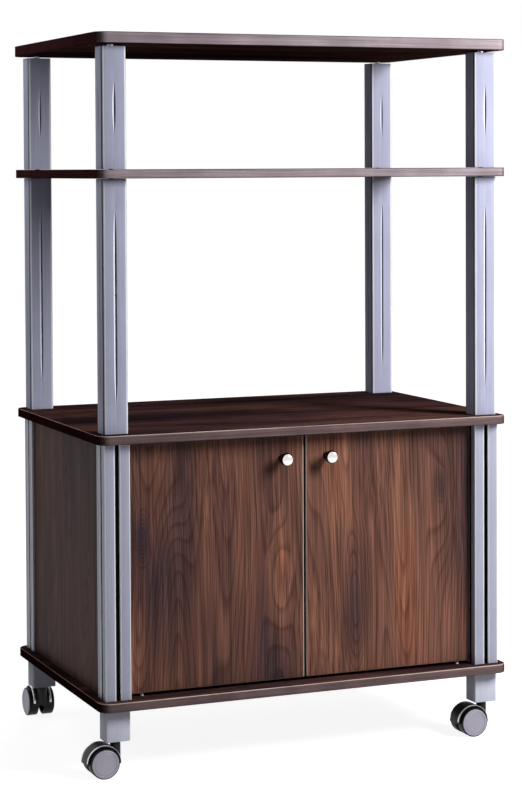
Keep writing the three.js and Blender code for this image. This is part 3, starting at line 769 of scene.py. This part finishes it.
def axle_profile(length, radius=2.5, ease=0.4):
    """Caster axle with both ends eased"""
    return [(0, 0), (radius - ease, 0), (radius, ease), (radius, length - ease), (radius - ease, length),
            (0, length)]


def knob(hand, soft):
    """Turned knob: an eased foot, a waisted neck and a head with a nearly flat face"""
    node = f"knob_{hand}"
    foot, length = turning(node, FORWARD)
    low, high = span(node)
    head = (high.x - low.x) / 2 / MM
    under = length - 12.0          # the head is 12 mm deep
    profile = [(0, 0), *arc((5.0, 0.5), 0.5, -90, 0, 3), (5.5, 1.2), (4.6, 2.3), (4.0, 3.6),
               (3.8, 5.2), (3.9, 6.8), (4.3, 8.1), (5.1, 9.2), (5.9, 9.9),
               *arc((head - soft, under + soft), soft, -56, 0, 8),
               *arc((head - soft, length - soft - 0.7), soft, 0, 70, 10),
               (3.4, length - 0.28), (1.7, length - 0.07), (0, length)]
    bm = spun(profile, foot, FORWARD, 48)
    bmesh.ops.recalc_face_normals(bm, faces=bm.faces[:])
    # Faces turned away from the front, on the rim and neck, take the dark chrome: a painted reflection of
    # the doors
    for quad in bm.faces:
        quad.material_index = 1 if quad.normal.dot(FORWARD) < 0.7 else 0
    chromes = (finish("polished_chrome"), finish("chrome_painted_dark_reflection"))
    piece(f"{node}_turned", bm, chromes, f"{hand}_door", (node,), TURNED_EDGE)


def caster_hood(corner, centre, axle, boss_foot):
    """Arched cover over two wheels, the web between them, its foot round the axle and the stem's boss"""
    outer, inner, half, soft = 23.4, 21.2, 13.9, 1.6
    dip = 4.9                      # degrees that cover and web reach below the axle
    cover = [(inner, -half + 0.3), (inner + 0.3, -half),
             *arc((outer - soft, -half + soft), soft, -90, 0, 5),
             *arc((outer - soft, half - soft), soft, 0, 90, 5),
             (inner + 0.3, half), (inner, half - 0.3)]
    web = [(0, -4.0), (21.6, -4.0), (21.6, 4.0), (0, 4.0)]
    foot = [(0, -4.0), (6.6, -4.0), (7.0, -3.6), (7.0, 3.6), (6.6, 4.0), (0, 4.0)]
    boss = [(0, 0), (7.0, 0), (7.0, 22.6), (6.4, 23.2), (6.4, 25.2), (6.0, 25.6), (0, 25.6)]
    whole = merged(spun(cover, centre, axle, 44, -dip, 180 + 2 * dip),
                   spun(web, centre, axle, 44, -dip, 180 + 2 * dip),
                   spun(foot, centre, axle, 28), spun(boss, boss_foot, UP, 32))
    piece(f"caster_hood_{corner}_moulded", whole, (finish("moulded_black_nylon"),), f"swivel_{corner}",
          (f"caster_hood_{corner}",), MOULDED_EDGE)


def caster_trim(corner, centre, axle):
    """Bright trim let into the hood's cover beside both rims"""
    inset = 4                      # degrees from the axle's level to the trim's ends
    trims = []
    for end in (-1, 1):
        ring = [(22.6, end * 10.6), (23.4, end * 10.6), (23.5, end * 10.8), (23.5, end * 12.8),
                (23.1, end * 13.3), (22.6, end * 13.3)]
        trims.append(spun(ring, centre, axle, 44, inset, 180 - 2 * inset))
    piece(f"caster_trim_{corner}", merged(*trims), (finish("silver_trim_painted_highlight"),), f"swivel_{corner}",
          (), MOULDED_EDGE)


def caster_wheel(node, body, centre, outward):
    """Tyre with its hollow inner side, and the cap on its outer side with a ring groove"""
    sizes = bpy.context.scene.cart_sizes
    cap = sizes.cap_radius / MM
    soft = sizes.tread_round / MM
    radius, inner, outer, seat = 20, 4.5, 18.6, 17.6
    bore, bore_end, hub, rim, hollow, ease = 2.6, 15.6, 6.0, 16.8, 9.5, 0.3
    tyre = [(0, bore_end), (bore, bore_end), (bore, inner), (hub - ease, inner), (hub, inner + ease),
            (hub, hollow), (rim - ease, hollow), (rim, hollow - ease), (rim, inner + ease),
            (rim + ease, inner), *arc((radius - soft, inner + soft), soft, -75, 0, 5),
            *arc((radius - soft, outer - soft), soft, 0, 80, 5), (cap, outer + 0.1), (cap - 0.4, seat),
            (0, seat)]
    piece(f"{node}_tyre", spun(tyre, centre, outward, 56), (finish("moulded_black_tyre"),), body,
          (node,), MOULDED_EDGE)
    back, groove, face = 17.7, 18.6, 18.95
    disc = [(0, back), (cap - 0.5, back), (cap - 0.1, 18.2), *arc((cap - 1.1, 18.3), 1.0, -10, 90, 5),
            (15.6, 19.1), (15.3, groove), (14.9, groove), (14.5, face), (0, face)]
    piece(f"{node}_cap", spun(disc, centre, outward, 56), (finish("moulded_grey_cap"),), body,
          (), CAP_EDGE)


# ---- Stage


def looked_at(tree):
    """1 where the camera looks, straight, off a mirror or through glass, and 0 for light that spreads"""
    rays = add(tree, "LightPath")
    seen = rays["Is Camera Ray"]
    for kind in ("Is Glossy Ray", "Is Transmission Ray"):
        seen = add(tree, "Math", {0: seen, 1: rays[kind]}, operation="MAXIMUM")["Value"]
    return seen


def white_paper(hex_value):
    """Matt paper, which spreads light evenly; looked at, it is lifted to white and keeps its shadow"""
    material, tree, shader, place = new_material("white_paper")
    # The lamps fade over the floor, so the lift grows from 0.9 near the cart to 1 from 2 m away
    far = add(tree, "VectorMath", {0: place}, operation="LENGTH")["Value"]
    level = add(tree, "MapRange", {
        "Value": far, "From Min": 0.5, "From Max": 2.0, "To Min": 0.9})["Result"]
    lift = add(tree, "Math", {0: looked_at(tree), 1: level}, operation="MULTIPLY")["Value"]
    feed(tree, shader, {
        "Base Color": linear(hex_value), "Roughness": 0.9, "Specular IOR Level": 0.1,
        "Emission Color": (1, 1, 1, 1), "Emission Strength": lift})
    return material


def lay_floor(hex_value):
    bm = bmesh.new()
    bmesh.ops.create_grid(bm, x_segments=1, y_segments=1, size=FLOOR_HALF)
    mesh = bpy.data.meshes.new("floor")
    bm.to_mesh(mesh)
    bm.free()
    mesh.materials.append(white_paper(hex_value))
    new_object("floor", mesh)


def white_room(strength):
    """A room that looks white and lights the cart faintly from all round"""
    world = bpy.data.worlds.new("studio")
    world.use_nodes = True
    tree = world.node_tree
    tree.nodes.clear()
    level = add(tree, "MapRange", {"Value": looked_at(tree), "To Min": strength})["Result"]
    light = add(tree, "Background", {"Color": (1, 1, 1, 1), "Strength": level})
    add(tree, "OutputWorld", {"Surface": light["Background"]})
    return world


def soft_box(name, power, size, place):
    """An area lamp that faces the cart and isn't seen itself"""
    lamp = bpy.data.lights.new(name, "AREA")
    lamp.shape = "RECTANGLE"
    lamp.size, lamp.size_y = size
    lamp.energy = power
    box = new_object(name, lamp)
    box.location = place
    box.rotation_euler = (LIT_MIDDLE - Vector(place)).to_track_quat("-Z", "Y").to_euler()
    box.visible_camera = False


def photo_camera(focal_length):
    """The photograph's camera, solved from the boards' edges"""
    yaw, pitch, roll = (math.radians(angle) for angle in CAMERA_TURN)
    ahead = Vector((math.sin(yaw) * math.cos(pitch), math.cos(yaw) * math.cos(pitch), math.sin(pitch)))
    level = Vector((math.cos(yaw), -math.sin(yaw), 0))
    top = level.cross(ahead)
    right = level * math.cos(roll) + top * math.sin(roll)
    up = top * math.cos(roll) - level * math.sin(roll)
    lens = bpy.data.cameras.new("camera")
    lens.lens = focal_length
    lens.sensor_width = 36
    lens.shift_x, lens.shift_y = CAMERA_SHIFT
    camera = new_object("camera", lens)
    turn = Matrix((right, up, -ahead)).transposed()
    camera.matrix_world = Matrix.LocRotScale(Vector(CAMERA_PLACE), turn, None)
    return camera


# ---- Operators


class CART_OT_stage(bpy.types.Operator):
    """Pale floor, soft boxes and the camera of the photograph"""

    bl_idname = "cart.stage"
    bl_label = "Stage"

    def execute(self, context):
        stage = context.scene.cart_stage
        context.scene.view_settings.view_transform = "Standard"
        lay_floor(stage.floor)
        context.scene.world = white_room(stage.room_strength)
        soft_box("key_box", stage.key_power, (0.4, 0.7), (0.95, -1.1, 1.2))
        soft_box("fill_box", stage.fill_power, (0.3, 0.7), (-0.85, 0.15, 1.0))
        soft_box("back_box", stage.back_power, (0.5, 0.8), (0.5, 1.7, 1.1))
        soft_box("top_box", stage.top_power, (0.6, 0.6), (0.15, -0.2, 2.3))
        context.scene.camera = photo_camera(stage.lens)
        return {"FINISHED"}


class CART_OT_boards(bpy.types.Operator):
    """Bottom board, worktop and shelves, edge-banded with rounded corners"""

    bl_idname = "cart.boards"
    bl_label = "Boards"

    def execute(self, context):
        sizes = context.scene.cart_sizes
        face = walnut_laminate("printed_walnut_laminate_boards", "X", BOARD_PRINT, 0.0)
        for node in ("bottom_board", "worktop", "middle_shelf", "top_shelf"):
            group = "shelves" if node.endswith("shelf") else "cabinet"
            low, high = span(node)
            bm = softened_block(low, high, sizes.board_corner, 14, sizes.board_arris)
            for side in bm.faces:
                lean = abs(side.normal.z)
                # Upper arrises of the cabinet's boards take the painted highlight, every other arris the
                # painted shade
                trimmed = ARRIS if group == "cabinet" and side.normal.z > 0 else DARK_ARRIS
                side.material_index = FACE if lean > 0.99 else BAND if lean < 0.05 else trimmed
            bands = [finish(f"extruded_edge_band_{kind}") for kind in (group, "arris", "arris_dark")]
            piece(f"{node}_banded", bm, (face, *bands), CART, (node,))
        return {"FINISHED"}


class CART_OT_open_posts(bpy.types.Operator):
    """Short and long fluted posts of the open bays"""

    bl_idname = "cart.open_posts"
    bl_label = "Open posts"

    def execute(self, context):
        sizes = context.scene.cart_sizes
        # Plain film, and its copies with a painted highlight and with painted shade
        films = [finish(f"{kind}_silver_film") for kind in ("wrapped", "painted_highlight", "creased")]
        widths = (sizes.flute_width, sizes.side_flute_width)
        for corner in CORNERS:
            for kind, length in (("short", sizes.short_flute), ("long", sizes.long_flute)):
                node = f"{kind}_post_{corner}"
                bm = fluted_post(*span(node), sizes.post_corner, sizes.post_end, length, widths,
                                 sizes.flute_depth)
                piece(f"{node}_fluted", bm, films, CART, (node,), None)
        return {"FINISHED"}


class CART_OT_cabinet_posts(bpy.types.Operator):
    """Grooved aluminium posts at the cabinet's corners"""

    bl_idname = "cart.cabinet_posts"
    bl_label = "Cabinet posts"

    def execute(self, context):
        sizes = context.scene.cart_sizes
        materials = [finish(name) for name in (
            "anodised_aluminium", "groove_black_painted_shade", "anodised_aluminium_painted_highlight")]
        widths = (sizes.groove_width, sizes.side_groove_width)
        for corner in CORNERS:
            node = f"cabinet_post_{corner}"
            bm = grooved_post(*span(node), sizes.cabinet_post_corner, sizes.groove_lip, widths,
                              sizes.groove_depth)
            piece(f"{node}_grooved", bm, materials, CART, (node,))
        return {"FINISHED"}


class CART_OT_legs(bpy.types.Operator):
    """Legs under the bottom board"""

    bl_idname = "cart.legs"
    bl_label = "Legs"

    def execute(self, context):
        sizes = context.scene.cart_sizes
        # The legs' film is drawn paler, as painted light
        films = (finish("silver_film_legs_painted_light"), finish("painted_highlight_silver_film"))
        for corner in CORNERS:
            node = f"leg_{corner}"
            bm = softened_block(*span(node), sizes.leg_corner, 4, sizes.post_end)
            for side in bm.faces:
                flat = max(abs(axis) for axis in side.normal) > 0.95
                # Rounded edges and eased ends take the pale film: a painted highlight
                side.material_index = FILM if flat else PAINTED_HIGHLIGHT
            piece(f"{node}_capped", bm, films, CART, (node,))
        return {"FINISHED"}


class CART_OT_panels(bpy.types.Operator):
    """Side and back panels of the cabinet"""

    bl_idname = "cart.panels"
    bl_label = "Panels"

    def execute(self, context):
        # The panels take the boards' darker print: painted shade
        cover(("side_panel_left", "side_panel_right", "back_panel"),
              walnut_laminate("printed_walnut_laminate_panels", "Z", BOARD_PRINT, 0.02))
        return {"FINISHED"}


class CART_OT_doors(bpy.types.Operator):
    """Doors of the cabinet"""

    bl_idname = "cart.doors"
    bl_label = "Doors"

    def execute(self, context):
        cover(("door_left", "door_right"), walnut_laminate(
            "printed_walnut_laminate_doors", "Z", DOOR_PRINT, 0.08, True, DOOR_FIGURE))
        return {"FINISHED"}


class CART_OT_fittings(bpy.types.Operator):
    """Knobs, screws, strike plates, pivot pins, catch and tie rods"""

    bl_idname = "cart.fittings"
    bl_label = "Fittings"

    def execute(self, context):
        sizes = context.scene.cart_sizes
        zinc = (finish("zinc_plate"),)
        for hand in HANDS:
            door = f"{hand}_door"
            knob(hand, sizes.knob_round / MM)
            turned(f"knob_screw_{hand}", screw_profile, FORWARD, 32, "zinc_plate", door)
            plate = f"strike_plate_{hand}"
            bm = softened_block(*span(plate), 1.5 * MM, 4, 0.2 * MM, 2)
            piece(f"{plate}_pressed", bm, zinc, door, (plate,))
            for place, axis in (("lower", UP), ("upper", -UP)):
                turned(f"pivot_pin_{place}_{hand}", pin_profile, axis, 32, "moulded_white_nylon", CART)
        bm = softened_block(*span("magnetic_catch"), 1.5 * MM, 4, 0.8 * MM)
        piece("magnetic_catch_moulded", bm, (finish("moulded_white_nylon"),), CART,
              ("magnetic_catch",))
        for corner in CORNERS:
            turned(f"tie_rod_{corner}", rod_profile, UP, 32, "zinc_plate", CART)
        return {"FINISHED"}


class CART_OT_casters(bpy.types.Operator):
    """Twin-wheel casters: stems, axles, hoods with their bright trim, tyres and caps"""

    bl_idname = "cart.casters"
    bl_label = "Casters"

    def execute(self, context):
        for corner in CORNERS:
            swivel, stem, axle_node = f"swivel_{corner}", f"caster_stem_{corner}", f"caster_axle_{corner}"
            low, high = span(axle_node)
            centre = (low + high) / 2
            run = high - low
            axle = Vector((1, 0, 0)) if run.x > run.y else Vector((0, 1, 0))
            pivot, _ = turning(stem, UP)
            turned(stem, stem_profile, UP, 40, "polished_chrome", CART)
            turned(axle_node, axle_profile, axle, 28, "zinc_plate", swivel)
            caster_hood(corner, centre, axle, Vector((pivot.x, pivot.y, centre.z)))
            caster_trim(corner, centre, axle)
            for side in ("a", "b"):
                node = f"wheel_{side}_{corner}"
                low, high = span(node)
                outward = axle if ((low + high) / 2 - centre).dot(axle) > 0 else -axle
                caster_wheel(node, f"roller_{side}_{corner}", centre, outward)
        return {"FINISHED"}


# ---- Panel and registration


OPERATORS = (
    CART_OT_stage, CART_OT_boards, CART_OT_open_posts, CART_OT_cabinet_posts, CART_OT_legs, CART_OT_panels,
    CART_OT_doors, CART_OT_fittings, CART_OT_casters)


class CART_PT_panel(bpy.types.Panel):
    """Lists the cart's settings and its operators"""

    bl_idname = "CART_PT_panel"
    bl_label = "Microwave Cart"
    bl_space_type = "VIEW_3D"
    bl_region_type = "UI"
    bl_category = "Cart"

    def draw(self, context):
        scene = context.scene
        for group in (scene.cart_sizes, scene.cart_colours, scene.cart_stage):
            box = self.layout.box()
            for name in group.__annotations__:
                box.prop(group, name)
        for operator in OPERATORS:
            self.layout.operator(operator.bl_idname)


GROUPS = (("cart_sizes", CartSizes), ("cart_colours", CartColours), ("cart_stage", CartStage))


def register():
    for name, group in GROUPS:
        bpy.utils.register_class(group)
        setattr(bpy.types.Scene, name, bpy.props.PointerProperty(type=group))
    for operator in OPERATORS:
        bpy.utils.register_class(operator)
    bpy.utils.register_class(CART_PT_panel)


def unregister():
    bpy.utils.unregister_class(CART_PT_panel)
    for operator in reversed(OPERATORS):
        bpy.utils.unregister_class(operator)
    for name, group in reversed(GROUPS):
        delattr(bpy.types.Scene, name)
        bpy.utils.unregister_class(group)


def main():
    register()
    for operator in OPERATORS:
        getattr(bpy.ops.cart, operator.bl_idname.partition(".")[2])()


if __name__ == "__main__":
    main()
